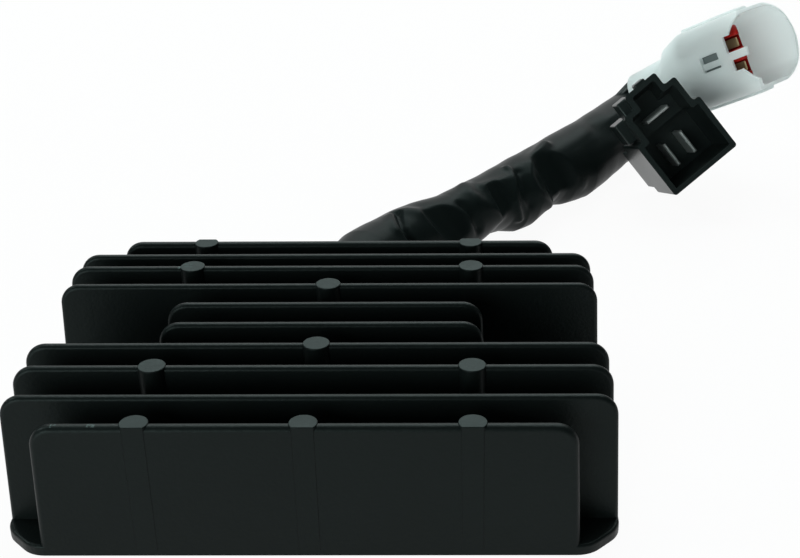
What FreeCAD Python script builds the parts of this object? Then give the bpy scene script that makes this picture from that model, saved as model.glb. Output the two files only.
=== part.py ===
"""Finned voltage regulator rectifier with a sleeved lead and two connectors.

Millimetres. X runs along the fins, Y from the front fin to the lead side, Z up.
The origin is the middle of the housing's underside, which is also the table.
"""
import FreeCAD, Part
import math
import os

V = FreeCAD.Vector

# Housing casting
WIDTH = 96.0                 # over the base plate, along X
DEPTH = 66.8                 # over the base plate, along Y
FIN_COUNT = 10
OUTER_FIN_THICK = 2.0
FIN_PITCH = (DEPTH - OUTER_FIN_THICK) / (FIN_COUNT - 1)      # the outer fins stand on the plate's edges
FIN_TOP = 24.7               # fins 3 to 8
CROWN_DROP = (1.7, 1.0, 0, 0, 0, 0, 0, 0, 1.0, 1.7)
FIN_SHORT = (6.5, 0, 0, 0, 20.2, 20.2, 0, 0, 0, 6.5)         # each fin ends this much inside the plate
FIN_TIP_THICK = 1.5
FIN_ROOT_THICK = 2.4
END_DRAFT = 0.0407           # the fin ends lean in by this much per mm of height
FIN_CORNER_R = 3.5
FLANGE_THICK = 1.8
CORNER_CUT = 5.0
CORNER_R = 5.0
EAR_LONG = 14.0
BODY_HALF_X = WIDTH / 2 - EAR_LONG
BODY_TOP = 11.0
EAR_HALF_Y = 9.4
EAR_TOP = 6.0
MOUNT_R = 3.25
MOUNT_EDGE = 7.0
MOUNT_X = WIDTH / 2 - MOUNT_EDGE
BOSS_R = 2.2
BOSS_X = 25.0
BOSS_PROUD = 0.15
BOSS_INSET = OUTER_FIN_THICK / 2 - BOSS_R + 0.8    # an outer fin's boss is cut off near the fin's face
BOSS_LIP = 0.12              # and stands this proud of it
BOSSES = {0: "left middle right", 2: "left right", 3: "middle", 6: "middle", 7: "left right", 9: "left right"}

# Cavity, potting and what is potted in
BODY_WALL = 3.5
END_WALL = 4.9
CAVITY_HALF_X = BODY_HALF_X - BODY_WALL
CAVITY_HALF_Y = DEPTH / 2 - END_WALL
CAVITY_ROOF = 8.0
CAVITY_R = 4.0
POTTING_RECESS = 0.5
SHEET_THICK = 0.3
BOARD_BOTTOM = 1.2
BOARD_THICK = 1.6
LAYOUT_X = CAVITY_HALF_X / 30.5     # the electronics are laid out for a well of 61 x 57 mm
LAYOUT_Y = CAVITY_HALF_Y / 28.5     # and keep their places in a larger or smaller one
BOARD_HALF_X = 27.0 * LAYOUT_X
BOARD_FRONT = -26.0 * LAYOUT_Y
BOARD_BACK = 16.5 * LAYOUT_Y
DEVICE_PITCH = 18.0 * LAYOUT_X
DEVICE_WIDE = 10.0 * LAYOUT_X
DEVICE_THICK = 4.4
DEVICE_LONG = 9.0 * LAYOUT_Y
TAB_LONG = 6.4 * LAYOUT_Y
TAB_THICK = 1.3
LEG_OUT = 2.6 * LAYOUT_Y
LEG_THICK = 0.5
LEG_WIDE = 0.8
THYRISTOR_Y = -12.0 * LAYOUT_Y      # where the legs leave each row of devices
DIODE_Y = -3.0 * LAYOUT_Y
SHEET_HALF_X = 26.0 * LAYOUT_X
SHEET_Y = (-28.0 * LAYOUT_Y, 12.0 * LAYOUT_Y)
TUNNEL_START = 12.5 * LAYOUT_Y      # the arched outlet tunnel begins here

# Lead: sleeve, wires and outlet. Its points are laid out for a wall at Y = 33.4 and follow the wall.
LEAD_SHIFT = DEPTH / 2 - 33.4
SLEEVE_R = 8.0
SLEEVE_WALL = 0.8
LEAD_Z = 8.2                 # the sleeve lies on the table
OUTLET_R = 9.8
HUMP_WALL = 1.9
GROMMET_PROUD = 1.0
GROMMET_CLEAR = 0.1
GROMMET_SLIT = 10.0          # open below, where it would get too thin
SLEEVE_ROUTE = ((0, 24), (0, 37.5), (3.2, 50.3), (9.4, 62.0), (18.1, 72.0), (27.5, 83.7),
                (37.3, 96.4), (46.9, 109.6), (56.3, 123.4), (64.3, 137.0))
WIRE_R = 1.1
WIRE_START = 15.5 * LAYOUT_Y
PIN_THICK = 1.2
PIN_BROAD = 1.6
LOW_ENTRY = 3.7              # a low phase wire runs straight for this long behind its connector
TOP_ENTRY = 4.3

# Black connector: its mouth's lower left corner, then width, height and mouth directions
PHASE_AT = V(73.4, 93.0 + LEAD_SHIFT, 6.9)
PHASE_X = V(0.7724, 0.2881, 0.5660)
PHASE_Z = V(0.0975, -0.9344, 0.3426)
PHASE_WIDE = 18.8
PHASE_STEPS = ((14.8, 0.0), (22.0, 1.75), (25.7, 4.85))   # height of each step and its inset
PHASE_TAPER = 0.21           # the two upper steps fall by this much per mm towards the rear
PHASE_WALL = 1.3
PHASE_SHROUD = 16.0
PHASE_REAR = 22.0
PHASE_TOP_REAR = 13.0
PHASE_FLOOR = 15.0
PHASE_TOP_FLOOR = 10.0
BLADE_WIDE = 6.3
BLADE_THICK = 0.8
LOW_BLADE_X = (6.9, 11.9)
LOW_BLADE_Y = 6.75
TOP_BLADE = (9.4, 17.0)
CRIMP = 2.4

# White connector: middle of its rear end, then the two directions across and the mouth direction
OUT_AT = V(70.4, 142.2 + LEAD_SHIFT, 16.2)
OUT_X = V(0.3548, -0.3344, -0.8731)
OUT_Z = V(0.6899, -0.5388, 0.4836)
OUT_LONG = 39.0
MOUTH_BULGE = 3.2            # the mouth's edge bulges this far past OUT_LONG in the middle of its sides
MOUTH_R = 14.4
BARREL_HALF = 5.5
BARREL_LONG = 11.8
SHOULDER = (14.8, 8.2)       # where the shoulder bends, and its half width there
SHOULDER_END = 20.6
SHROUD_HALF_X = 10.0
SHROUD_HALF_Y = 10.2
SHROUD_R = 4.5
OUT_WALL = 0.9
OUT_SOLID = 21.0             # solid up to here, open shroud beyond
RAIL = (0.8, 3.0, 36.0)      # the rail on each side: how proud, half width, end
PIN_X = 3.1
PIN_WIDE = 2.3
PIN_FLAT = 0.64
PIN_TIP = OUT_LONG - 6.7
LATCH = (-2.4, 1.4, 26.6, 31.7)     # the latch window, across and along
LATCH_FLOOR = (4.0, 0.6, 1.1, 33.0) # what closes it inside: half width, depth below the wall, thickness, end
TONGUE = (-2.1, 0.4, 28.8)          # its tongue, across, and where it starts
RED_ROOM = 0.1                      # the retainer stands this far inside that floor
NEAR_EDGE = ((-12, 3.5), (-8.8, 0.4), (-7.8, -0.9), (-5.2, -2.9), (-5.2, -4.5), (-1.2, -4.5), (-1.2, 0.7),
             (0.8, 0.7), (0.8, -4.1), (3.5, -4.1), (3.5, -2.2), (6.0, -0.1), (7.3, 1.3), (12, 5.5))  # z from OUT_LONG
RED_NEAR = 37.7              # the retainer's top at its near face, where it starts to slope down
RED_SLOPE = 0.6
RED_FAR = (2.6, 23.0)        # past this y it stops at the lower height
SEAL = (0.8, 7.0)


def box(x0, x1, y0, y1, z0, z1):
    return Part.makeBox(x1 - x0, y1 - y0, z1 - z0, V(x0, y0, z0))


def rounded_face(half_x, half_y, r, z=0.0, cx=0.0, cy=0.0):
    """A rectangle with round corners, lying in XY."""
    pts = [(-half_x, -half_y), (half_x, -half_y), (half_x, half_y), (-half_x, half_y)]
    return Part.Face(rounded_wire([V(cx + x, cy + y, z) for x, y in pts], [r] * 4))


def rounded_wire(pts, radii):
    """A closed polygon with each corner turned into an arc."""
    starts, edges, n = [], [], len(pts)
    for i, p in enumerate(pts):
        a, b = pts[i - 1] - p, pts[(i + 1) % n] - p
        half = a.getAngle(b) / 2
        a.normalize()
        b.normalize()
        r = radii[i]
        if r <= 0:
            starts.append((p, p, None))
            continue
        cut = r / math.tan(half)
        bis = a + b
        bis.normalize()
        starts.append((p + a * cut, p + b * cut, p + bis * (r / math.sin(half) - r)))
    for i in range(n):
        s, e, mid = starts[i]
        if mid is not None:
            edges.append(Part.Arc(s, mid, e).toShape())
        nxt = starts[(i + 1) % n][0]
        if (nxt - e).Length > 1e-6:
            edges.append(Part.LineSegment(e, nxt).toShape())
    return Part.Wire(edges)


def fused(shapes):
    out = shapes[0].multiFuse(shapes[1:]) if len(shapes) > 1 else shapes[0]
    return out.removeSplitter()


def oriented(shape, at, x_dir, z_dir):
    """Place a shape drawn in its own frame."""
    z = V(z_dir).normalize()
    x = V(x_dir) - z * V(x_dir).dot(z)
    x.normalize()
    y = z.cross(x)
    out = shape.copy()
    out.Placement = FreeCAD.Placement(FreeCAD.Matrix(
        x.x, y.x, z.x, at.x, x.y, y.y, z.y, at.y, x.z, y.z, z.z, at.z, 0, 0, 0, 1))
    return out


def local_point(at, x_dir, z_dir, x, y, z):
    return oriented(Part.Vertex(x, y, z), at, x_dir, z_dir).Vertexes[0].Point


# Routes: straight runs joined by the largest tangent arcs that fit

def arc_path(points, name):
    edges, last, radii = [], points[0], []
    for i in range(1, len(points) - 1):
        p = points[i]
        a, b = points[i - 1] - p, points[i + 1] - p
        run = min(a.Length, b.Length)
        half_turn = (math.pi - a.getAngle(b)) / 2
        a.normalize()
        b.normalize()
        cut = 0.45 * run
        r = cut / math.tan(half_turn)
        radii.append(r)
        bis = a + b
        bis.normalize()
        mid = p + bis * (r / math.cos(half_turn) - r)
        start, end = p + a * cut, p + b * cut
        edges.append(Part.LineSegment(last, start).toShape())
        edges.append(Part.Arc(start, mid, end).toShape())
        last = end
    edges.append(Part.LineSegment(last, points[-1]).toShape())
    wire = Part.Wire(edges)
    print(name, "length %.1f" % wire.Length, "radii", " ".join("%.1f" % r for r in radii))
    return wire


def tube(wire, points, radius):
    along = (points[1] - points[0]).normalize()
    ring = Part.Wire(Part.Circle(points[0], along, radius).toShape())
    solid = wire.makePipeShell([ring], True, True)
    want = math.pi * radius ** 2 * wire.Length
    if abs(solid.Volume - want) > 0.01 * want:
        raise RuntimeError("tube volume is off: %.1f, not %.1f" % (solid.Volume, want))
    return solid


def sleeve_points(side=0.0, z=LEAD_Z):
    """The sleeve's route, or a parallel one that far to the right of it."""
    pts = [V(x, y + LEAD_SHIFT, z) for x, y in SLEEVE_ROUTE]
    if side == 0:
        return pts
    out = []
    for i, p in enumerate(pts):
        before = (p - pts[i - 1]).normalize() if i else None
        after = (pts[i + 1] - p).normalize() if i + 1 < len(pts) else None
        d = after if before is None else before if after is None else (before + after).normalize()
        stretch = d.dot(after if before is None else before)
        out.append(p + V(d.y, -d.x, 0) * (side / stretch))
    return out


# The housing is one casting: plate, body, fins, bosses and ears

def fin_y(i):
    return (i - (FIN_COUNT - 1) / 2) * FIN_PITCH


def fin(i):
    y, top, half = fin_y(i), FIN_TOP - CROWN_DROP[i], WIDTH / 2 - FIN_SHORT[i]
    outer = i in (0, FIN_COUNT - 1)
    tip = OUTER_FIN_THICK if outer else FIN_TIP_THICK
    root = OUTER_FIN_THICK if outer else FIN_ROOT_THICK
    foot = FLANGE_THICK / 2
    section = [V(-WIDTH, y - root / 2, foot), V(-WIDTH, y + root / 2, foot),
               V(-WIDTH, y + tip / 2, top), V(-WIDTH, y - tip / 2, top)]
    slab = Part.Face(Part.makePolygon(section + section[:1])).extrude(V(2 * WIDTH, 0, 0))
    lean = END_DRAFT * top
    outline = [V(x, y - root, z) for x, z in ((-half, 0), (half, 0), (half - lean, top), (lean - half, top))]
    face = rounded_wire(outline, [0, 0, FIN_CORNER_R, FIN_CORNER_R])
    solid = slab.common(Part.Face(face).extrude(V(0, 2 * root, 0)))
    rim = [e for e in solid.Edges
           if abs(e.tangentAt(e.FirstParameter).y) < 0.5 and max(v.Z for v in e.Vertexes) > foot + 1]
    return solid.makeFillet(0.9 if outer else 0.65, rim)


def base_plate():
    hx, hy, c = WIDTH / 2, DEPTH / 2, CORNER_CUT
    pts = [V(-hx + c, -hy, 0), V(hx - c, -hy, 0), V(hx, -hy + c, 0), V(hx, hy - c, 0),
           V(hx - c, hy, 0), V(-hx + c, hy, 0), V(-hx, hy - c, 0), V(-hx, -hy + c, 0)]
    plate = Part.Face(rounded_wire(pts, [CORNER_R] * 8)).extrude(V(0, 0, FLANGE_THICK))
    top = [e for e in plate.Edges if min(v.Z for v in e.Vertexes) > FLANGE_THICK - 0.01]
    return plate.makeFillet(0.5, top)


def bosses():
    out, at = [], {"left": -BOSS_X, "middle": 0, "right": BOSS_X}
    for i, places in BOSSES.items():
        inward = -BOSS_INSET if i == 0 else BOSS_INSET if i == FIN_COUNT - 1 else 0
        top = FIN_TOP - CROWN_DROP[i] + BOSS_PROUD
        for place in places.split():
            pin = Part.makeCylinder(BOSS_R, top - 1, V(at[place], fin_y(i) + inward, 1))
            pin = pin.common(box(-WIDTH, WIDTH, -DEPTH / 2 - BOSS_LIP, DEPTH / 2 + BOSS_LIP, 0, 2 * top))
            out.append(pin.makeFillet(0.2, [e for e in pin.Edges if min(v.Z for v in e.Vertexes) > top - 0.01]))
    return out


def arch(radius, y0, y1):
    """An arched tunnel round the lead's line, open downwards."""
    round_top = Part.makeCylinder(radius, y1 - y0, V(0, y0, LEAD_Z), V(0, 1, 0))
    above = box(-radius, radius, y0, y1, 0, LEAD_Z + radius)
    return round_top.fuse(box(-radius, radius, y0, y1, 0, LEAD_Z)).common(above)


def cavity():
    well = rounded_face(CAVITY_HALF_X, CAVITY_HALF_Y, CAVITY_R).extrude(V(0, 0, CAVITY_ROOF))
    return well.fuse(arch(OUTLET_R, TUNNEL_START, CAVITY_HALF_Y)).removeSplitter()


def housing():
    body = box(-BODY_HALF_X, BODY_HALF_X, -DEPTH / 2 + 1, DEPTH / 2 - 1, 0, BODY_TOP)
    body = body.makeFillet(1.5, [e for e in body.Edges if min(v.Z for v in e.Vertexes) > BODY_TOP - 0.01])
    ear = box(-WIDTH / 2 + 0.4, WIDTH / 2 - 0.4, -EAR_HALF_Y, EAR_HALF_Y, 0, EAR_TOP)
    hump = arch(OUTLET_R + HUMP_WALL, TUNNEL_START - HUMP_WALL, DEPTH / 2)
    solid = fused([base_plate(), body, ear, hump] + [fin(i) for i in range(FIN_COUNT)] + bosses())
    well = fused([cavity(), arch(OUTLET_R, CAVITY_HALF_Y - 1, DEPTH / 2 + 1)])
    holes = [Part.makeCylinder(MOUNT_R, 2 * FIN_TOP, V(s * MOUNT_X, 0, -1)) for s in (-1, 1)]
    return without(solid, [well] + holes)


# Electronics in the cavity

def device(x, mouth, direction):
    """A flat power device: tab, body and three legs bent down to the board."""
    top = CAVITY_ROOF - SHEET_THICK
    s = direction

    def part(x0, x1, y0, y1, z0, z1):
        ya, yb = sorted((mouth + s * y0, mouth + s * y1))
        return box(x + x0, x + x1, ya, yb, z0, z1)

    half = DEVICE_WIDE / 2
    tab = part(-half, half, DEVICE_LONG, DEVICE_LONG + TAB_LONG, top - TAB_THICK, top)
    hole = Part.makeCylinder(0.18 * DEVICE_WIDE, top, V(x, mouth + s * (DEVICE_LONG + 0.56 * TAB_LONG), 0))
    shapes = [tab.cut(hole), part(-half, half, 0, DEVICE_LONG, top - DEVICE_THICK, top)]
    leg_top = top - DEVICE_THICK / 2 + LEG_THICK / 2
    for leg in (-DEVICE_WIDE / 4, 0, DEVICE_WIDE / 4):
        left, right = leg - LEG_WIDE / 2, leg + LEG_WIDE / 2
        shapes.append(part(left, right, -LEG_OUT, 0, leg_top - LEG_THICK, leg_top))
        shapes.append(part(left, right, -LEG_OUT - LEG_THICK, -LEG_OUT, BOARD_BOTTOM + BOARD_THICK, leg_top))
    return fused(shapes)


def on_board(x, y, wide, long, high):
    """A block that stands on the board, placed by its corner in the layout."""
    top = BOARD_BOTTOM + BOARD_THICK
    return box(x * LAYOUT_X, (x + wide) * LAYOUT_X, y * LAYOUT_Y, (y + long) * LAYOUT_Y, top, top + high)


def small_parts():
    """Chip, resistors, capacitors and zener diodes, in the gaps between the power devices."""
    top, gap_x = BOARD_BOTTOM + BOARD_THICK, DEVICE_PITCH / 2
    legs = [on_board(x, y, 0.9, 0.5, 0.6) for x in (5.7, 11.4) for y in (-19.6, -18.3, -17.0, -15.7)]
    chip = fused([on_board(6.6, -20.0, 4.8, 5.0, 1.7)] + legs)
    resistors = [on_board(-10.6, y, 3.2, 1.6, 0.6) for y in (-22, -18.5, -15, 0.5, 4, 7.5)]
    cans = [Part.makeCylinder(2.4 * LAYOUT_X, 4.2, V(gap_x, y * LAYOUT_Y, top)) for y in (1.0, 7.0)]
    zeners = [Part.makeCylinder(0.9, 3.6 * LAYOUT_Y, V(x, -8.4 * LAYOUT_Y, top + 0.9), V(0, 1, 0))
              for x in (-gap_x, gap_x)]
    return [chip] + [Part.makeCompound(group) for group in (resistors, cans, zeners)]


def sheet():
    return box(-SHEET_HALF_X, SHEET_HALF_X, SHEET_Y[0], SHEET_Y[1], CAVITY_ROOF - SHEET_THICK, CAVITY_ROOF)


# Lead

WIRES = {
    # name: side, height, then the free points past the sleeve, ending in the connector
    "wire_phase_1": (-3.6, 4.8, ((62.4, 140.1, 4.2), (66.9, 142.3, 3.1), (71.9, 141.7, 2.7), (75.7, 138.5, 2.9),
                                 (77.2, 133.7, 3.6), (75.4, 127.2, 5.4))),
    "wire_phase_2": (0.3, 5.4, ((65.7, 138.3, 5.5), (70.2, 140.3, 5.7), (75.2, 139.7, 5.9), (78.8, 136.3, 6.2),
                                (80.2, 131.6, 7.0), (79.2, 126.4, 8.4))),
    "wire_phase_3": (-2.2, 7.6, ((63.5, 139.4, 7.8), (68.0, 141.5, 8.2), (73.0, 140.9, 8.5), (76.7, 137.6, 9.0),
                                 (77.7, 132.6, 10.4), (76.4, 127.4, 12.4), (73.6, 122.6, 15.2))),
    "wire_ground": (-3.6, 11.8, ((60.9, 140.2, 12.2), (64.3, 143.9, 14.8))),
    "wire_positive": (-5.3, 8.8, ((61.0, 139.3, 9.2), (65.6, 142.2, 10.0))),
}


def wire_points(name):
    side, z, free = WIRES[name]
    pts = sleeve_points(side, z)[:-1]
    pts[0] = V(side, WIRE_START, z)
    ends = {"wire_phase_1": phase_entry(LOW_BLADE_X[0], LOW_BLADE_Y, PHASE_REAR, LOW_ENTRY, 2.5),
            "wire_phase_2": phase_entry(LOW_BLADE_X[1], LOW_BLADE_Y, PHASE_REAR, LOW_ENTRY, 2.5),
            "wire_phase_3": phase_entry(TOP_BLADE[0], TOP_BLADE[1], PHASE_TOP_REAR, TOP_ENTRY, 1.0),
            "wire_ground": out_entry(-PIN_X), "wire_positive": out_entry(PIN_X)}
    return pts + [V(x, y + LEAD_SHIFT, z) for x, y, z in free] + ends[name]


def phase_entry(x, y, rear, entry, depth):
    """The point just behind a wire hole and the wire's end inside it."""
    return [local_point(PHASE_AT, PHASE_X, PHASE_Z, x, y, z) for z in (-rear - entry, -rear + depth)]


def out_entry(x):
    return [local_point(OUT_AT, OUT_X, OUT_Z, x, 0, z) for z in (-1.2, SEAL[1] + 1)]


def grommet():
    front, back = CAVITY_HALF_Y, DEPTH / 2 + GROMMET_PROUD
    bore = Part.makeCylinder(SLEEVE_R + GROMMET_CLEAR, back - front + 2, V(0, front - 1, LEAD_Z), V(0, 1, 0))
    slit = box(-GROMMET_SLIT / 2, GROMMET_SLIT / 2, front - 1, back + 1, -1, LEAD_Z / 2)
    return without(arch(OUTLET_R, front, back), [bore, slit])


def pins():
    top = BOARD_BOTTOM + BOARD_THICK
    out = []
    for side, z, _ in WIRES.values():
        half = PIN_BROAD / 2
        out.append(box(side - half, side + half, WIRE_START - PIN_THICK, WIRE_START, top, z + WIRE_R))
    return out


# Black connector in its own frame: mouth in the plane Z = 0, body behind it

def stepped_outline(inset, z=0.0):
    """The stepped outline, from the widest part at the bottom to the narrow top."""
    lo, mid, high = PHASE_STEPS
    fall = -z * PHASE_TAPER
    mid, high = (mid[0] - fall, mid[1]), (high[0] - fall, high[1])
    w, i = PHASE_WIDE, inset
    left = [(lo[1] + i, i), (lo[1] + i, lo[0] - i), (mid[1] + i, lo[0] - i), (mid[1] + i, mid[0] - i),
            (high[1] + i, mid[0] - i), (high[1] + i, high[0] - i)]
    right = [(w - x, y) for x, y in reversed(left)]
    pts = [V(x, y, z) for x, y in right + left]
    return rounded_wire(pts, [0.7] * len(pts))


def softened(block, radius):
    return block.makeFillet(radius, block.Edges)


def phase_body():
    w, low_high = PHASE_WIDE, PHASE_STEPS[0][0]
    shroud = Part.makeLoft([stepped_outline(0, -PHASE_TOP_REAR), stepped_outline(0)], True, True)
    low = rounded_face(w / 2, low_high / 2, 0.7, 0, w / 2, low_high / 2).extrude(V(0, 0, -PHASE_SHROUD))
    rear = box(0.0, w - 3.6, 2.0, low_high - 2.2, -PHASE_REAR, -PHASE_SHROUD + 1)
    keys = [box(-0.6, 3.0, 15.6, 21.4, -10.0, -3.5),
            box(2.6, 6.0, 19.0, 25.2, -7.5, -2.0),
            box(8.4, 11.4, 24.0, 26.2, -4.0, -1.2)]
    body = fused([shroud, low, rear] + [softened(key, 0.4) for key in keys])
    hollow = Part.makeLoft([stepped_outline(PHASE_WALL, -PHASE_TOP_FLOOR), stepped_outline(PHASE_WALL)], True, True)
    deep = box(PHASE_WALL, w - PHASE_WALL, PHASE_WALL, low_high - PHASE_WALL, -PHASE_FLOOR, 0)
    body = body.cut(hollow.fuse(deep))
    for x in LOW_BLADE_X:
        body = body.cut(Part.makeCylinder(WIRE_R + 0.1, 6, V(x, LOW_BLADE_Y, -PHASE_REAR - 0.5)))
    return body.cut(Part.makeCylinder(WIRE_R + 0.1, 3, V(TOP_BLADE[0], TOP_BLADE[1], -PHASE_TOP_REAR - 0.5)))


def phase_blade(x, y, upright, wire_end, crimp_long, tip):
    half_w, half_t = BLADE_WIDE / 2, BLADE_THICK / 2
    hx, hy = (half_t, half_w) if upright else (half_w, half_t)
    crimp = box(x - CRIMP / 2, x + CRIMP / 2, y - CRIMP / 2, y + CRIMP / 2, -wire_end, -wire_end + crimp_long)
    flat = box(x - hx, x + hx, y - hy, y + hy, -wire_end + crimp_long, -tip)
    ends = [e for e in flat.Edges if min(v.Z for v in e.Vertexes) > -tip - 0.01]
    return crimp.fuse(flat.makeChamfer(0.3, ends))


def phase_blades():
    low = [phase_blade(x, LOW_BLADE_Y, True, PHASE_REAR - 2.5, 2.5, 8.0) for x in LOW_BLADE_X]
    return low + [phase_blade(TOP_BLADE[0], TOP_BLADE[1], False, PHASE_TOP_REAR - 1.0, 1.2, 4.0)]


# White connector in its own frame: rear end in the plane Z = 0, mouth at OUT_LONG

def lofted(z0, low, z1, high):
    """A body between two rounded rectangles, each given as half width, half height and corner."""
    return Part.makeLoft([rounded_face(*low, z0).OuterWire, rounded_face(*high, z1).OuterWire], True, True)


def prism(points, y0, y1):
    """An outline given in X and Z, drawn out along Y."""
    pts = [V(x, y0, z) for x, z in points]
    return Part.Face(Part.makePolygon(pts + pts[:1])).extrude(V(0, y1 - y0, 0))


def out_mouth(full):
    """What the mouth's bulged edge cuts away."""
    y = 2 * SHROUD_HALF_Y
    block = box(-y, y, -y, y, OUT_LONG - 6, full + 9)
    return block.cut(Part.makeCylinder(MOUTH_R, 2 * y, V(0, -y, OUT_LONG + MOUTH_BULGE - MOUTH_R), V(0, 1, 0)))


def out_body():
    full = OUT_LONG + MOUTH_BULGE + 1
    bend, bend_half = SHOULDER
    rear = (BARREL_HALF - 0.6, BARREL_HALF - 0.6, 4.0)
    front = (BARREL_HALF + 0.6, BARREL_HALF + 0.6, 4.5)
    middle = (bend_half, bend_half, SHROUD_R)
    outer = (SHROUD_HALF_X, SHROUD_HALF_Y, SHROUD_R)
    proud, rail_half, rail_end = RAIL
    rail = box(-SHROUD_HALF_X - proud, SHROUD_HALF_X + proud, -rail_half, rail_half, SHOULDER_END - 1, rail_end)
    body = fused([lofted(0, rear, BARREL_LONG, front), lofted(BARREL_LONG, front, bend, middle),
                  lofted(bend, middle, SHOULDER_END, outer), softened(rail, 0.5),
                  rounded_face(*outer, SHOULDER_END).extrude(V(0, 0, full - SHOULDER_END))])
    inner = rounded_face(*[size - OUT_WALL for size in outer], OUT_SOLID).extrude(V(0, 0, full))
    near = -SHROUD_HALF_Y
    through = near + OUT_WALL + 1.6
    edge = [(x, OUT_LONG + z) for x, z in NEAR_EDGE] + [(12, full + 1), (-12, full + 1)]
    wide, deep, thick, end = LATCH_FLOOR
    latch = box(LATCH[0], LATCH[1], near - 1, near + OUT_WALL + deep, LATCH[2], LATCH[3])
    tongue = box(TONGUE[0], TONGUE[1], near + 0.2, near + OUT_WALL, TONGUE[2], LATCH[3])
    floor = box(-wide, wide, near + OUT_WALL - 0.1, near + OUT_WALL + deep + thick, OUT_SOLID - 1, end)
    body = without(body, [inner, out_mouth(full), prism(edge, near - 1, through)])
    body = fused([body.fuse(floor).cut(latch), tongue])
    return body.cut(seal_block(-1, SEAL[1]))


def seal_block(z0, z1):
    return rounded_face(PIN_X + WIRE_R + 0.3, 2.6, 1.2, z0).extrude(V(0, 0, z1 - z0))


def out_seal():
    block = seal_block(*SEAL)
    for x in (-PIN_X, PIN_X):
        block = block.cut(Part.makeCylinder(WIRE_R, 20, V(x, 0, -5)))
    return block


def out_pin(x):
    crimp = box(x - 1.2, x + 1.2, -1.2, 1.2, SEAL[1] + 1, SEAL[1] + 5)
    flat = box(x - PIN_WIDE / 2, x + PIN_WIDE / 2, -PIN_FLAT / 2, PIN_FLAT / 2, SEAL[1] + 5, PIN_TIP)
    ends = [e for e in flat.Edges if min(v.Z for v in e.Vertexes) > PIN_TIP - 0.01]
    return crimp.fuse(flat.makeChamfer(0.2, ends))


def retainer():
    """A block whose top slopes down from its near face and whose far part stops lower."""
    room = OUT_WALL + LATCH_FLOOR[1] + LATCH_FLOOR[2] + RED_ROOM
    half_y = SHROUD_HALF_Y - room
    block = rounded_face(SHROUD_HALF_X - room, half_y, 2.6, OUT_SOLID).extrude(V(0, 0, RED_NEAR))
    far, low = RED_FAR
    side = [(-half_y - 1, RED_NEAR + RED_SLOPE), (far, RED_NEAR - RED_SLOPE * (far + half_y)), (far, low),
            (half_y + 1, low), (half_y + 1, 3 * RED_NEAR), (-half_y - 1, 3 * RED_NEAR)]
    pts = [V(-20, y, z) for y, z in side]
    block = block.cut(Part.Face(Part.makePolygon(pts + pts[:1])).extrude(V(40, 0, 0)))
    rim = [e for e in block.Edges if min(v.Z for v in e.Vertexes) > RED_NEAR - 6]
    block = block.makeFillet(0.8, rim)
    for x in (-PIN_X, PIN_X):
        block = block.cut(box(x - 1.6, x + 1.6, -12, 1.4, OUT_SOLID + 2.5, RED_NEAR + 1))
    return block


def without(shape, others):
    for other in others:
        shape = shape.cut(other)
    return shape


def build():
    parts = {"housing": housing()}
    parts["insulator_sheet"] = sheet()
    parts["circuit_board"] = box(-BOARD_HALF_X, BOARD_HALF_X, BOARD_FRONT, BOARD_BACK,
                                 BOARD_BOTTOM, BOARD_BOTTOM + BOARD_THICK)
    for n, x in enumerate((-DEVICE_PITCH, 0, DEVICE_PITCH), 1):
        parts["thyristor_%d" % n] = device(x, THYRISTOR_Y, -1)
        parts["diode_%d" % n] = device(x, DIODE_Y, 1)
    parts["control_chip"], parts["resistors"], parts["capacitors"], parts["zener_diodes"] = small_parts()
    parts["board_pins"] = Part.makeCompound(pins())

    route = sleeve_points()
    path = arc_path(route, "sleeve")
    outer = tube(path, route, SLEEVE_R)
    parts["lead_sleeve"] = outer.cut(tube(path, route, SLEEVE_R - SLEEVE_WALL))
    for name in WIRES:
        pts = wire_points(name)
        parts[name] = tube(arc_path(pts, name), pts, WIRE_R)
    parts["lead_grommet"] = grommet()

    fill = cavity().common(box(-WIDTH, WIDTH, -DEPTH, DEPTH, POTTING_RECESS, FIN_TOP))
    inside = [n for n in parts if n not in ("housing", "lead_grommet", "lead_sleeve")]
    potted = fill.cut(fused([outer] + [parts[n] for n in inside if n.startswith("wire")]))
    parts["potting"] = without(potted, [parts[n] for n in inside if not n.startswith("wire")])

    blades = phase_blades()
    parts["phase_connector"] = oriented(without(phase_body(), blades), PHASE_AT, PHASE_X, PHASE_Z)
    for n, blade in enumerate(blades, 1):
        parts["phase_blade_%d" % n] = oriented(blade, PHASE_AT, PHASE_X, PHASE_Z)

    shell_pins = [out_pin(-PIN_X), out_pin(PIN_X)]
    wire_ends = [Part.makeCylinder(WIRE_R + 0.05, 3, V(x, 0, SEAL[1] - 0.5)) for x in (-PIN_X, PIN_X)]
    parts["output_connector"] = oriented(without(out_body(), shell_pins + wire_ends), OUT_AT, OUT_X, OUT_Z)
    parts["output_retainer"] = oriented(without(retainer(), shell_pins), OUT_AT, OUT_X, OUT_Z)
    parts["output_seal"] = oriented(out_seal(), OUT_AT, OUT_X, OUT_Z)
    for n, pin in enumerate(shell_pins, 1):
        parts["output_pin_%d" % n] = oriented(pin, OUT_AT, OUT_X, OUT_Z)
    return parts


os.makedirs("parts", exist_ok=True)
for node, shape in build().items():
    b = shape.BoundBox
    sizes = (b.XMin, b.XMax, b.YMin, b.YMax, b.ZMin, b.ZMax)
    print("%-18s solids %d valid %s vol %9.1f" % (node, len(shape.Solids), shape.isValid(), shape.Volume),
          " x %6.1f %6.1f y %6.1f %6.1f z %6.2f %6.2f" % sizes)
    shape.exportStep("parts/%s.step" % node)
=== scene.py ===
"""Finned voltage regulator rectifier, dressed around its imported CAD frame. Metres."""

import math

import bmesh
import bpy
import numpy as np
from mathutils import Matrix, Vector


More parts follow.
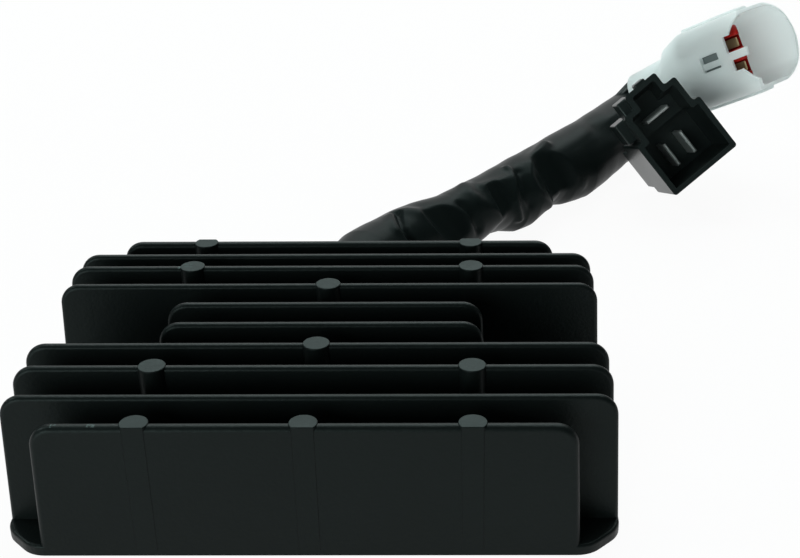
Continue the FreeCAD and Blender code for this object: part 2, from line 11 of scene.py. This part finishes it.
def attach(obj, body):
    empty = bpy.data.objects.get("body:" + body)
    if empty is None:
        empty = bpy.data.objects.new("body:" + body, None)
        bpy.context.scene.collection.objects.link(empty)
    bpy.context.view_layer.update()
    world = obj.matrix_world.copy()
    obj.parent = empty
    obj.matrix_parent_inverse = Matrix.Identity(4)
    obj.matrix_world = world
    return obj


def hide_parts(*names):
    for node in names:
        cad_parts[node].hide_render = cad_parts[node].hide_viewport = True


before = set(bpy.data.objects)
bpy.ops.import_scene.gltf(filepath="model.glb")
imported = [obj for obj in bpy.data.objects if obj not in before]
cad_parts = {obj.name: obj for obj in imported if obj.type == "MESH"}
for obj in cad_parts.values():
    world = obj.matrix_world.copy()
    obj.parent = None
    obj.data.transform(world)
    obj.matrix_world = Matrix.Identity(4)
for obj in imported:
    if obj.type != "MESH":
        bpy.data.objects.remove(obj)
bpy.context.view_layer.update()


# Studio. A pale floor and backdrop that show as plain white, dark surroundings above, soft lamps overhead
# behind the part and one low in front, and a camera in the photograph's place.

class Value:
    """One socket of a material, so that its maths reads as plain Python."""

    def __init__(self, tree, socket):
        self.tree, self.socket = tree, socket

    def maths(self, operation, *others):
        sum_node = self.tree.nodes.new("ShaderNodeMath")
        sum_node.operation = operation
        for place, thing in enumerate((self, *others)):
            put(self.tree, sum_node.inputs[place], thing)
        return Value(self.tree, sum_node.outputs[0])

    def __add__(self, other):
        return self.maths("ADD", other)

    def __mul__(self, other):
        return self.maths("MULTIPLY", other)

    def __gt__(self, edge):
        return self.maths("GREATER_THAN", edge)

    def near(self, middle, reach):
        return self.maths("COMPARE", middle, reach)

    __radd__ = __add__


def put(tree, socket, thing):
    """Link a value to a socket, or set the socket where it is a plain number or colour."""
    if isinstance(thing, Value):
        tree.links.new(thing.socket, socket)
    else:
        socket.default_value = thing


class Finish:
    """One surface finish: its shader, and a method that adds any other node."""

    def __init__(self, name, **fixed):
        self.material = bpy.data.materials.new(name)
        self.material.use_nodes = True
        self.tree = self.material.node_tree
        self.shader = self.tree.nodes["Principled BSDF"]
        self.set(**fixed)

    def set(self, **sockets):
        for name, thing in sockets.items():
            put(self.tree, self.shader.inputs[name.replace("_", " ")], thing)

    def node(self, kind, settings=None, inputs=None, out=0):
        made = self.tree.nodes.new("ShaderNode" + kind)
        for name, value in (settings or {}).items():
            setattr(made, name, value)
        for name, thing in (inputs or {}).items():
            put(self.tree, made.inputs[name], thing)
        return Value(self.tree, made.outputs[out])

    def noise(self, scale, detail=2.0, stretch=(1, 1, 1)):
        """Even noise on Object coordinates, with about this many grains to the metre."""
        place = self.node("TexCoord", out="Object")
        turned = self.node("Mapping", inputs={"Vector": place, "Scale": stretch})
        return self.node("TexNoise", inputs={"Vector": turned, "Scale": scale, "Detail": detail})

    def mix(self, factor, low, high):
        return self.node("Mix", {"data_type": "RGBA"}, {"Factor": factor, 6: low, 7: high}, out=2)

    def bump(self, height, distance):
        self.set(Normal=self.node("Bump", inputs={"Height": height, "Distance": distance, "Strength": 1.0}))
        return self


def grey_green(level, tint=0.15):
    """A near-black or grey with the faint green that all the dark parts share."""
    return (level * (1 - tint), level * (1 + tint), level * (1 + tint * 0.8), 1.0)


PAPER = (0.93, 0.93, 0.93, 1.0)
SHOWN_WHITE = 0.95      # share of the floor that the camera sees as plain white; the rest takes shadow
SKY = (0.118, 0.140, 0.138, 1)


def paper_white():
    finish = Finish("studio_paper", Base_Color=PAPER, Roughness=1.0, Specular_IOR_Level=0.0)
    kinds = ("Is Camera Ray", "Is Glossy Ray", "Is Transmission Ray")
    ray = {name: finish.node("LightPath", out=name) for name in kinds}
    seen = ray["Is Camera Ray"].maths("MAXIMUM", ray["Is Glossy Ray"])
    seen = seen.maths("MAXIMUM", ray["Is Transmission Ray"])
    glow = finish.node("Emission", inputs={"Color": (1, 1, 1, 1), "Strength": 1.0})
    paper = Value(finish.tree, finish.shader.outputs[0])
    both = finish.node("MixShader", inputs={0: seen * SHOWN_WHITE, 1: paper, 2: glow})
    finish.tree.links.new(both.socket, finish.tree.nodes["Material Output"].inputs["Surface"])
    return finish.material


def stage_plane(name, half, place, turn, material):
    sheet = bmesh.new()
    bmesh.ops.create_grid(sheet, x_segments=1, y_segments=1, size=half)
    bmesh.ops.rotate(sheet, verts=sheet.verts, matrix=Matrix.Rotation(turn, 3, "X"))
    bmesh.ops.translate(sheet, verts=sheet.verts, vec=place)
    mesh = bpy.data.meshes.new(name)
    sheet.to_mesh(mesh)
    sheet.free()
    mesh.materials.append(material)
    plane = bpy.data.objects.new(name, mesh)
    bpy.context.collection.objects.link(plane)


paper = paper_white()
stage_plane("floor", 6.0, (0, 0, -0.0002), 0.0, paper)
stage_plane("backdrop", 1.2, (0, 2.2, 1.15), math.radians(90), paper)

sky = bpy.data.worlds.new("studio")
sky.use_nodes = True
sky.node_tree.nodes["Background"].inputs["Color"].default_value = SKY
sky.node_tree.nodes["Background"].inputs["Strength"].default_value = 1.0
bpy.context.scene.world = sky
bpy.context.scene.view_settings.view_transform = "Standard"

LAMP_TINT = (0.86, 1.0, 0.985)
LAMPS_AIM = Vector((0.02, 0.04, 0.0))
LAMPS = (
    # name, place, width, watts
    ("overhead_behind", (0.05, 0.85, 1.15), 1.3, 16.0),
    ("key_left", (-1.00, 0.25, 0.85), 0.5, 4.0),
    ("fill_front", (-0.70, -1.15, 0.16), 0.9, 14.0),
)
for name, place, wide, watts in LAMPS:
    lamp = bpy.data.lights.new(name, "AREA")
    lamp.size, lamp.energy, lamp.color = wide, watts, LAMP_TINT
    box = bpy.data.objects.new(name, lamp)
    box.location = place
    box.rotation_mode = "QUATERNION"
    box.rotation_quaternion = (LAMPS_AIM - Vector(place)).to_track_quat("-Z", "Y")
    bpy.context.collection.objects.link(box)

CAMERA_AT = Vector((0.02377, -0.20172, 0.12930))
CAMERA_RIGHT = Vector((0.9999, 0.0083, -0.0078)).normalized()
CAMERA_AHEAD = Vector((-0.0109, 0.8977, -0.4404)).normalized()
FRAME_WIDE, FRAME_HIGH = 800, 558
FOCAL_SHARE = 1356.34 / FRAME_WIDE             # focal length over the frame's width
OPTICAL_CENTRE = (449.32 / FRAME_WIDE, 281.86 / FRAME_HIGH)     # the lens axis, from the frame's top left
SENSOR_WIDE = 36.0

camera = bpy.data.objects.new("camera", bpy.data.cameras.new("camera"))
camera_up = CAMERA_RIGHT.cross(CAMERA_AHEAD).normalized()
camera.matrix_world = Matrix.Translation(CAMERA_AT) @ Matrix(
    (CAMERA_RIGHT, camera_up, -CAMERA_AHEAD)).transposed().to_4x4()
camera.data.sensor_width = SENSOR_WIDE
camera.data.lens = SENSOR_WIDE * FOCAL_SHARE
camera.data.shift_x = 0.5 - OPTICAL_CENTRE[0]
camera.data.shift_y = (OPTICAL_CENTRE[1] - 0.5) * FRAME_HIGH / FRAME_WIDE
camera.data.clip_start, camera.data.clip_end = 0.01, 20.0
bpy.context.collection.objects.link(camera)
bpy.context.scene.camera = camera


# Lead sleeve. A soft vinyl tube that carries the five wires. It leaves the grommet, lies on the table,
# bends away to the right, and has buckled into folds where it was bent back and forth.

SLEEVE_R = 0.008
SLEEVE_SKIN = 0.0008
SLEEVE_ROUTE = ((0, 0.024), (0, 0.0375), (0.0032, 0.0503), (0.0094, 0.062), (0.0181, 0.072), (0.0275, 0.0837),
                (0.0373, 0.0964), (0.0469, 0.1096), (0.0563, 0.1234), (0.0643, 0.137))
LEAD_Z = 0.0082
SLANT = 0.0130           # the cut end reaches this much further on its upper left side
SLANT_POWER = 8          # how late along the sleeve the slant grows
EDGE_TURN = 50           # degrees from level left up to the edge that the camera sees
RINGS, RING_POINTS = 360, 96
AHEAD_STEP = 0.0008
FLOOR_GAP = 0.00015
SKIN_NEAREST, SKIN_FURTHEST = 5.7, 11.5      # mm from the middle line
RIPPLE = 0.07            # mm


def nurbs_line(name, points):
    line = bpy.data.curves.new(name, "CURVE")
    line.dimensions = "3D"
    spline = line.splines.new("NURBS")
    spline.points.add(len(points) - 1)
    for spot, (x, y, z) in zip(spline.points, points):
        spot.co = (x, y, z, 1.0)
    spline.order_u, spline.use_endpoint_u = 3, True
    return bpy.data.objects.new(name, line)


def points_along(line):
    """The points of a bare curve, read from Blender's own mesh of it."""
    mesh = bpy.data.meshes.new_from_object(line)
    return np.array([v.co[:] for v in mesh.vertices])


sleeve_line = points_along(nurbs_line("sleeve_line", [(x, y, LEAD_Z) for x, y in SLEEVE_ROUTE]))
run = np.concatenate([[0], np.cumsum(np.linalg.norm(np.diff(sleeve_line, axis=0), axis=1))])
SLEEVE_LONG = float(run[-1])

# How far the skin stands from the middle line on the two sides that make the outline, in mm, at so many mm
# along. The tube pinches and swells where it buckles.
UPPER_SIDE = ((0, 8), (20, 8), (28, 8.6), (36, 7.9), (48, 7.5), (56, 6.6), (64, 6.6), (72, 6.8), (84, 7.2),
              (96, 7.4), (104, 7.6), (112, 7.5), (124, 7.5), (133, 7.7))
LOWER_SIDE = ((0, 8), (22, 8), (60, 7.2), (67, 6.2), (72, 6.9), (76, 8.7), (80, 9.0), (84, 8.5), (88, 7.3),
              (90.5, 7.0), (93, 7.6), (96, 8.7), (100, 9.5), (104, 10), (108, 9.9), (116, 9.3), (124, 8.9),
              (133, 8.7))
SIDE_POWER = 1.5         # how fast a side's swelling fades round the tube

# Folds: height in mm, half width in mm, then the points of the fold: mm along, degrees round from level left.
FOLDS = (
    (1.0, 1.5, ((93, 91), (86.5, 105), (81.5, 119), (79, 135), (78.5, 150), (79, 165), (81, 180),
                (84.5, 199))),
    (0.35, 1.2, ((97.5, 193), (98.5, 196))),
    (0.8, 0.9, ((76, 101), (75.5, 112), (74, 125), (72.5, 143), (71.5, 161), (72, 179), (73.5, 203))),
    (0.5, 1.4, ((65, 114), (69.5, 119), (72.5, 123))),
    (-0.7, 1.2, ((77.5, 122), (75.8, 143), (75.4, 159), (76.4, 180))),
    (0.8, 1.9, ((62.5, 87), (60, 117), (60, 137), (62.5, 159), (66, 179))),
    (-1.1, 0.8, ((40.5, 85), (39, 97), (36.5, 117), (35.5, 135), (36, 160))),
    (0.5, 1.2, ((38.3, 85), (36.4, 97), (33.8, 117))),
    (0.6, 1.8, ((42.5, 95), (44, 109))),
    (-0.8, 1.1, ((55.5, 128), (56.5, 150), (58, 180))),
    (-0.5, 3.0, ((112, 120), (122, 160))),
    (0.4, 2.4, ((118, 118), (128, 112))),
)

# Dents, each a flat the tube was pressed to: mm along, half length, degrees round, distance from the middle
# line in mm, and how many mm further along it lies per degree round.
DENTS = ((88.8, 7.3, 155, 5.75, 0.03), (67.5, 3.6, 150, 6.7, 0.02), (49.5, 6.0, 146, 6.4, 0.05))
DENT_EDGE = 0.10         # how softly a flat meets the round tube, in mm
DENT_TURN = 72           # degrees round to either side that a flat can reach
UNDENTED = 11            # mm, outside any skin


def beside(along, turn, points):
    """Distance in mm of each skin point from a fold's line."""
    mm_per_degree = SLEEVE_R * 1000 * math.pi / 180
    p = np.stack([along, turn * mm_per_degree], axis=-1)
    nearest = np.full(along.shape, 1e9)
    spots = [np.array((a, b * mm_per_degree)) for a, b in points]
    for a, b in zip(spots, spots[1:]):
        t = np.clip(((p - a) @ (b - a)) / ((b - a) @ (b - a)), 0, 1)
        nearest = np.minimum(nearest, np.linalg.norm(p - a - t[..., None] * (b - a), axis=-1))
    return nearest


def skin_distance(along, turn):
    """Distance of the skin from the middle line, in metres, for arrays of mm along and degrees round."""
    lean = np.cos(np.radians(turn - EDGE_TURN))
    out = SLEEVE_R * 1000 + (np.interp(along, *zip(*UPPER_SIDE)) - 8) * np.clip(lean, 0, 1) ** SIDE_POWER
    out += (np.interp(along, *zip(*LOWER_SIDE)) - 8) * np.clip(-lean, 0, 1) ** SIDE_POWER
    for height, half, points in FOLDS:
        out += height * np.exp(-(beside(along, turn, points) / half) ** 2)
    for at, half, facing, level, skew in DENTS:
        near = np.exp(-((along - at - skew * (turn - facing)) / half) ** 4)
        flat = UNDENTED - (UNDENTED - level) * near
        flat = flat / np.cos(np.radians((turn - facing).clip(-DENT_TURN, DENT_TURN)))
        out = -DENT_EDGE * np.logaddexp(-out / DENT_EDGE, -flat / DENT_EDGE)
    ripple = np.sin(along * 0.55 + turn * 0.05) * np.sin(along * 0.21 - turn * 0.031 + 1.3)
    out += RIPPLE * ripple * np.clip((along - 28) / 10, 0, 1)
    return out.clip(SKIN_NEAREST, SKIN_FURTHEST) * 0.001


def line_at(along):
    """Points of the sleeve's middle line at these distances along it, in metres."""
    return np.stack([np.interp(along, run, sleeve_line[:, axis]) for axis in range(3)], axis=-1)


def sleeve():
    """The tube's outer skin: a grid rolled round the middle line, with its free end cut on the slant."""
    tube = bmesh.new()
    bmesh.ops.create_grid(tube, x_segments=RINGS, y_segments=RING_POINTS, size=1.0, calc_uvs=True)
    uv = np.array([v.co[:2] for v in tube.verts])
    share, turn = (uv[:, 0] + 1) / 2, (uv[:, 1] + 1) * 180 - 90
    along = share * SLEEVE_LONG
    further = SLANT * np.cos(np.radians(turn - EDGE_TURN)).clip(0, 1) * share ** SLANT_POWER
    reach = along + further
    ahead = line_at(np.clip(along + AHEAD_STEP, 0, SLEEVE_LONG))
    ahead = ahead - line_at(np.clip(along - AHEAD_STEP, 0, SLEEVE_LONG))
    ahead /= np.linalg.norm(ahead, axis=-1)[:, None]
    middle = line_at(along) + ahead * (reach - along)[:, None]
    left = np.stack([-ahead[:, 1], ahead[:, 0], np.zeros(len(ahead))], axis=-1)
    far = skin_distance(along * 1000, turn)[:, None]
    round_ = np.radians(turn)[:, None]
    place = middle + far * (np.cos(round_) * left + np.sin(round_) * np.array((0, 0, 1)))
    place[:, 2] = np.maximum(place[:, 2], FLOOR_GAP)
    for vert, spot in zip(tube.verts, place):
        vert.co = spot
    bmesh.ops.remove_doubles(tube, verts=tube.verts, dist=1e-6)
    bmesh.ops.recalc_face_normals(tube, faces=tube.faces)
    return tube


def new_piece(name, bm, finish):
    """A smooth-shaded object from a bmesh, in its finish, on the root body and in its slot."""
    mesh = bpy.data.meshes.new(name)
    bm.to_mesh(mesh)
    bm.free()
    mesh.shade_smooth()
    mesh.materials.append(finish.material)
    piece = bpy.data.objects.new(name, mesh)
    bpy.context.collection.objects.link(piece)
    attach(piece, "root")
    return piece


vinyl = Finish("soft_vinyl", Specular_IOR_Level=0.035, Specular_Tint=(0.84, 1.0, 0.98, 1.0))
blotch = vinyl.noise(60, 2.0)
vinyl.set(Base_Color=vinyl.mix(blotch, grey_green(0.008), grey_green(0.012)), Roughness=blotch * 0.08 + 0.30)
vinyl.bump(vinyl.noise(1500, 4.0), 0.00002)

lead_sleeve = new_piece("lead_sleeve_skin", sleeve(), vinyl)
wall = lead_sleeve.modifiers.new("wall", "SOLIDIFY")
wall.thickness, wall.offset = SLEEVE_SKIN, -1.0
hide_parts("lead_sleeve")


# Wires. Five insulated copper leads, three black to the alternator side, one red and one black to the
# battery side. They run from the board through the sleeve and bend round into the backs of the connectors.

def insulation(name, low, high):
    finish = Finish(name, Specular_IOR_Level=0.45)
    shade = finish.noise(220, 2.0)
    finish.set(Base_Color=finish.mix(shade, low, high), Roughness=shade * 0.12 + 0.30)
    return finish.bump(finish.noise(2600, 2.0), 0.00001)


black_insulation = insulation("black_insulation", grey_green(0.010), grey_green(0.018))
red_insulation = insulation("red_insulation", (0.30, 0.012, 0.008, 1), (0.40, 0.02, 0.012, 1))


def dress(node, finish):
    """Give a CAD node its finish."""
    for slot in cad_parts[node].material_slots:
        slot.material = finish.material


WIRE_R = 0.0011
WIRE_START = 0.0155
WIRE_SIDES = 20
WIRES = (
    # name, side and height within the sleeve, then the free points from the sleeve's end into the
    # connector, all in mm
    ("wire_phase_1", -3.6, 4.8, (
        (62.4, 140.1, 4.2), (66.9, 142.3, 3.1), (71.9, 141.7, 2.7), (75.7, 138.5, 2.9), (77.2, 133.7, 3.6),
        (75.4, 127.2, 5.4), (71.99, 120.42, 7.06), (72.35, 116.96, 8.33), (72.59, 114.62, 9.19))),
    ("wire_phase_2", 0.3, 5.4, (
        (65.7, 138.3, 5.5), (70.2, 140.3, 5.7), (75.2, 139.7, 5.9), (78.8, 136.3, 6.2), (80.2, 131.6, 7.0),
        (79.2, 126.4, 8.4), (75.85, 121.86, 9.89), (76.21, 118.4, 11.16), (76.45, 116.06, 12.02))),
    ("wire_phase_3", -2.2, 7.6, (
        (63.5, 139.4, 7.8), (68.0, 141.5, 8.2), (73.0, 140.9, 8.5), (76.7, 137.6, 9.0), (77.7, 132.6, 10.4),
        (76.4, 127.4, 12.4), (73.6, 122.6, 15.2), (68.3, 115.43, 19.04), (68.72, 111.42, 20.51),
        (68.82, 110.48, 20.86))),
    ("wire_ground", -3.6, 11.8, (
        (60.9, 140.2, 11.6), (64.5, 143.6, 13.7), (68.48, 143.88, 18.33), (69.86, 142.8, 19.3),
        (74.82, 138.92, 22.78))),
    ("wire_positive", -5.3, 8.8, (
        (61.0, 139.3, 9.2), (65.6, 142.2, 10.0), (70.67, 141.81, 12.91), (72.05, 140.74, 13.88),
        (77.01, 136.86, 17.36))),
)


def wire_route(side, height, free):
    """The wire's points: beside the sleeve's own line inside it, then the free ones."""
    spots = [Vector(spot) for spot in SLEEVE_ROUTE]
    inside = [(side / 1000, WIRE_START, height / 1000)]
    for before, spot, after in zip(spots, spots[1:], spots[2:]):
        into, out = (spot - before).normalized(), (after - spot).normalized()
        along = (into + out).normalized()
        aside = Vector((along.y, -along.x)) * (side / 1000 / along.dot(out))
        inside.append((spot.x + aside.x, spot.y + aside.y, height / 1000))
    return inside + [(x / 1000, y / 1000, z / 1000) for x, y, z in free]


def wire(name, side, height, free):
    """The insulated wire as a round cord on its route, with closed ends."""
    route = points_along(nurbs_line(name + "_line", wire_route(side, height, free)))
    steps = np.linalg.norm(np.diff(route, axis=0), axis=1)
    route = [Vector(spot) for spot, step in zip(route, [1, *steps]) if step > 1e-7]
    rings, tube = [], bmesh.new()
    across = Vector((1, 0, 0))
    for i, spot in enumerate(route):
        ahead = (route[min(i + 1, len(route) - 1)] - route[max(i - 1, 0)]).normalized()
        across = (across - ahead * across.dot(ahead)).normalized()
        third = ahead.cross(across)
        turns = [2 * math.pi * k / WIRE_SIDES for k in range(WIRE_SIDES)]
        rings.append([tube.verts.new(spot + WIRE_R * (math.cos(turn) * across + math.sin(turn) * third))
                      for turn in turns])
    for low, high in zip(rings, rings[1:]):
        for k in range(WIRE_SIDES):
            tube.faces.new((low[k - 1], low[k], high[k], high[k - 1]))
    bmesh.ops.holes_fill(tube, edges=[e for e in tube.edges if e.is_boundary], sides=WIRE_SIDES)
    bmesh.ops.recalc_face_normals(tube, faces=tube.faces)
    red = name == "wire_positive"
    piece = new_piece(name + "_cord", tube, red_insulation if red else black_insulation)
    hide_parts(name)
    return piece


wires = [wire(*facts) for facts in WIRES]


# Housing. One aluminium die casting: flange, body and ten fins under satin black paint, with round pads
# left by the die's ejector pins on the fins' crowns.

PAD_TOPS = (0.02485, 0.02385, 0.02315)      # where the pads stand, a hair above their fins

NICKS = (
    # where the paint is chafed: middle x, y, z and the half lengths, in mm
    (-36.7, -32.7, 23.0, 0.5, 0.5, 0.12), (-31.2, -32.7, 23.0, 0.6, 0.5, 0.10),
    (-28.6, -32.7, 23.0, 0.9, 0.5, 0.12), (-26.3, 18.2, 24.7, 1.3, 0.7, 0.3),
)

casting = Finish("painted_casting", Specular_IOR_Level=0.13, Specular_Tint=(0.86, 1.0, 0.97, 1.0))
where = casting.node("TexCoord", out="Object")
place = [casting.node("SeparateXYZ", inputs={0: where}, out=axis) for axis in "XYZ"]
height = place[2]
normal = casting.node("NewGeometry", out="Normal")
facing_up = casting.node("SeparateXYZ", inputs={0: normal}, out="Z")
# The pads' upward tops are painted a patchy lighter grey, a painted reflection of the light from above, and
# are made rougher.
on_pad = sum(height.near(top, 0.00007) for top in PAD_TOPS) * (facing_up > 0.9)
cloud, smear = casting.noise(45, 4.0), casting.noise(400, 3.0)
flecks = casting.noise(1500, 2.0) > 0.5
chafed = 0.0
for nick in NICKS:
    inside = (smear > 0.44)
    for axis in range(3):
        inside = inside * place[axis].near(nick[axis] / 1000, nick[axis + 3] / 1000)
    chafed = inside + chafed
paint = casting.mix(cloud, grey_green(0.0038), grey_green(0.0065))
paint = casting.mix(on_pad * (smear * 0.5 + 0.6), paint, grey_green(0.055, 0.08))
casting.set(Base_Color=casting.mix(chafed * flecks, paint, grey_green(0.07)),
            Roughness=cloud * 0.10 + 0.36 + on_pad * 0.2)
casting.bump(casting.noise(1700, 4.0) + smear * 0.6, 0.00005)
dress("housing", casting)


# Grommet and potting. A rubber strain relief in the outlet's arch, and the black resin that fills the
# well under the casting, poured level and slightly dished.

rubber = Finish("grommet_rubber", Base_Color=grey_green(0.014), Specular_IOR_Level=0.3)
rubber.set(Roughness=rubber.noise(300, 3.0) * 0.2 + 0.5)
rubber.bump(rubber.noise(1800, 3.0), 0.00003)
dress("lead_grommet", rubber)

resin = Finish("potting_resin", Specular_IOR_Level=0.5)
flow = resin.noise(60, 3.0, (1.0, 1.6, 1.0))
resin.set(Base_Color=resin.mix(flow, grey_green(0.006), grey_green(0.016)), Roughness=flow * 0.25 + 0.18)
resin.bump(flow + resin.noise(420, 2.0) * 0.3, 0.00025)
dress("potting", resin)


# Electronics under the resin: insulating sheet, board, six power devices and the regulator's small parts.

def plain_finish(name, low, high, roughness, grain, metallic=0.0):
    finish = Finish(name, Metallic=metallic)
    shade = finish.noise(grain, 3.0)
    finish.set(Base_Color=finish.mix(shade, low, high), Roughness=shade * 0.15 + roughness)
    return finish.bump(shade, 0.00001)


BURIED = (
    # node, finish, its darker and lighter shade, roughness, grains to the metre, metallic
    ("insulator_sheet", "insulator_film", (0.42, 0.24, 0.05, 1), (0.50, 0.30, 0.08, 1), 0.25, 300, 0.0),
    ("circuit_board", "board_laminate", (0.01, 0.07, 0.03, 1), (0.02, 0.11, 0.05, 1), 0.35, 700, 0.0),
    ("control_chip", "chip_epoxy", grey_green(0.012), grey_green(0.02), 0.45, 1500, 0.0),
    ("resistors", "resistor_glaze", grey_green(0.02), grey_green(0.03), 0.3, 1500, 0.0),
    ("capacitors", "capacitor_can", (0.62, 0.62, 0.64, 1), (0.72, 0.72, 0.74, 1), 0.3, 900, 1.0),
    ("zener_diodes", "zener_glass", (0.32, 0.10, 0.03, 1), (0.42, 0.15, 0.05, 1), 0.15, 900, 0.0),
    ("board_pins", "tinned_copper", (0.66, 0.64, 0.60, 1), (0.76, 0.74, 0.70, 1), 0.3, 1800, 1.0),
)
for node, *facts in BURIED:
    dress(node, plain_finish(*facts))
device_epoxy = plain_finish("device_epoxy", grey_green(0.014), grey_green(0.024), 0.5, 1100)
for number in (1, 2, 3):
    dress("thyristor_%d" % number, device_epoxy)
    dress("diode_%d" % number, device_epoxy)


# Black connector. A moulded stepped shroud with three tinned flat blades standing in it.

def softened(node, name, finish, width):
    """A copy of a CAD node with its sharp edges rounded, as moulded plastic has."""
    solid = bmesh.new()
    solid.from_mesh(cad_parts[node].data)
    bmesh.ops.remove_doubles(solid, verts=solid.verts, dist=2e-6)
    bmesh.ops.dissolve_limit(solid, angle_limit=math.radians(1.0), verts=solid.verts, edges=solid.edges)
    piece = new_piece(name, solid, finish)
    if "custom_normal" in piece.data.attributes:
        piece.data.attributes.remove(piece.data.attributes["custom_normal"])
    edge = piece.modifiers.new("edges", "BEVEL")
    edge.width, edge.segments, edge.profile = width, 2, 0.5
    edge.limit_method, edge.angle_limit = "ANGLE", math.radians(38)
    edge.use_clamp_overlap = True
    even = piece.modifiers.new("even", "WEIGHTED_NORMAL")
    even.keep_sharp = False
    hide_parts(node)
    return piece


def moulded(name, low, high, roughness, specular=0.5):
    """Moulded plastic: a slow change of shade and a fine grain."""
    finish = Finish(name, Specular_IOR_Level=specular)
    shade = finish.noise(70, 2.0)
    finish.colour = finish.mix(shade, low, high)
    finish.set(Base_Color=finish.colour, Roughness=shade * 0.10 + roughness)
    return finish.bump(finish.noise(1200, 3.0), 0.00002)


black_nylon = moulded("black_nylon", grey_green(0.009), grey_green(0.013), 0.30, 0.34)
black_nylon.set(Specular_Tint=(0.88, 1.0, 0.97, 1.0))
phase_shell = softened("phase_connector", "phase_connector_shell", black_nylon, 0.00022)
tin = plain_finish("tinned_blade", (0.62, 0.64, 0.63, 1), (0.80, 0.82, 0.80, 1), 0.42, 1600, 0.9)
for number in (1, 2, 3):
    dress("phase_blade_%d" % number, tin)


# White connector. A natural nylon shroud with rounded corners, a latch tongue in a window, a red terminal
# retainer inside its mouth, two brass pins and a rubber wire seal at its back. Natural nylon lets light
# through; its inside is given a lighter colour than its outside, painted light that stands in for this, and
# the window's floor a dark colour, a painted shadow.

# The connector's own frame, with lengths in metres
CONNECTOR_AT = Vector((0.0704, 0.1422, 0.0162))     # middle of its rear end
CONNECTOR_ALONG = Vector((0.6899, -0.5388, 0.4836)).normalized()
ACROSS_AIM = Vector((0.3548, -0.3344, -0.8731))
CONNECTOR_ACROSS = (ACROSS_AIM - CONNECTOR_ALONG * ACROSS_AIM.dot(CONNECTOR_ALONG)).normalized()
CONNECTOR_DEEP = CONNECTOR_ALONG.cross(CONNECTOR_ACROSS)
MOUTH_FROM = 0.021                                  # the hollow starts here along it
LATCH_END = 0.0318
LATCH_WINDOW = ((-0.0025, 0.0015), (-0.0093, -0.0085), (0.0265, LATCH_END))     # across, deep, along
TONGUE_SIDES = ((-0.0021, -0.0007), (0.0004, 0.0009))       # where each side is, and where it goes
TONGUE_DEEP = (-0.01005, -0.0092)
TONGUE_FROM, TONGUE_LONGER = 0.0288, 0.0020
SAME_PLACE = 5e-5                                   # nearer than this is the same place
# Painted light: the lighter colour given to the mouth's inside, standing in for light that comes through the
# thin nylon.
INSIDE_PAINTED_LIGHT = (0.97, 0.985, 0.98, 1)
# Painted shadow: the dark colour given to the floor under the latch window.
WINDOW_PAINTED_SHADOW = (0.17, 0.20, 0.20, 1)


def in_connector(way):
    """A direction or a distance, told across, deep and along the connector."""
    return Vector((way.dot(CONNECTOR_ACROSS), way.dot(CONNECTOR_DEEP), way.dot(CONNECTOR_ALONG)))


def set_tongue(piece):
    """Move the latch tongue in its window to where the photograph shows it."""
    for vert in piece.data.vertices:
        spot = in_connector(vert.co - CONNECTOR_AT)
        if not (TONGUE_DEEP[0] < spot.y < TONGUE_DEEP[1] and TONGUE_FROM - SAME_PLACE < spot.z < LATCH_END):
            continue
        for old_side, new_side in TONGUE_SIDES:
            if abs(spot.x - old_side) < SAME_PLACE:
                vert.co += CONNECTOR_ACROSS * (new_side - old_side)
                if spot.z < TONGUE_FROM + SAME_PLACE:
                    vert.co -= CONNECTOR_ALONG * TONGUE_LONGER


def mark_faces(piece):
    """Say of each face whether it lies inside the mouth (1), under the latch window (-1) or outside (0)."""
    marks = piece.data.attributes.new("lies", "FLOAT", "FACE")
    for face, mark in zip(piece.data.polygons, marks.data):
        spot, facing = in_connector(face.center - CONNECTOR_AT), in_connector(face.normal)
        inward = spot.x * facing.x + spot.y * facing.y < 0 and abs(facing.z) < 0.7
        if all(low < value < high for value, (low, high) in zip(spot, LATCH_WINDOW)):
            mark.value = -1.0
        elif inward and spot.z > MOUTH_FROM:
            mark.value = 1.0


white_nylon = moulded("white_nylon", (0.83, 0.86, 0.855, 1), (0.87, 0.90, 0.895, 1), 0.34)
lies = white_nylon.node("Attribute", {"attribute_name": "lies"}, out="Fac")
# Inside the mouth the colour is lighter: painted light for the light coming through the walls.
colour_with_painted_inside_light = white_nylon.mix(lies > 0.5, white_nylon.colour, INSIDE_PAINTED_LIGHT)
# Under the latch window the colour is dark: a painted shadow in the recess.
white_nylon.set(Base_Color=white_nylon.mix(lies * -1.0 > 0.5, colour_with_painted_inside_light, WINDOW_PAINTED_SHADOW))
white_nylon.set(Subsurface_Weight=0.85, Subsurface_Radius=(1.0, 1.0, 1.0), Subsurface_Scale=0.005)
output_shell = softened("output_connector", "output_connector_shell", white_nylon, 0.00025)
set_tongue(output_shell)
mark_faces(output_shell)
red_nylon = moulded("red_nylon", (0.42, 0.006, 0.003, 1), (0.52, 0.010, 0.005, 1), 0.35, 0.25)
output_red = softened("output_retainer", "output_retainer_block", red_nylon, 0.0002)
brass = plain_finish("pin_brass", (0.80, 0.62, 0.33, 1), (0.90, 0.72, 0.42, 1), 0.42, 1800, 0.75)
for number in (1, 2):
    dress("output_pin_%d" % number, brass)
dress("output_seal", plain_finish("seal_rubber", (0.30, 0.32, 0.33, 1), (0.36, 0.38, 0.39, 1), 0.55, 900))
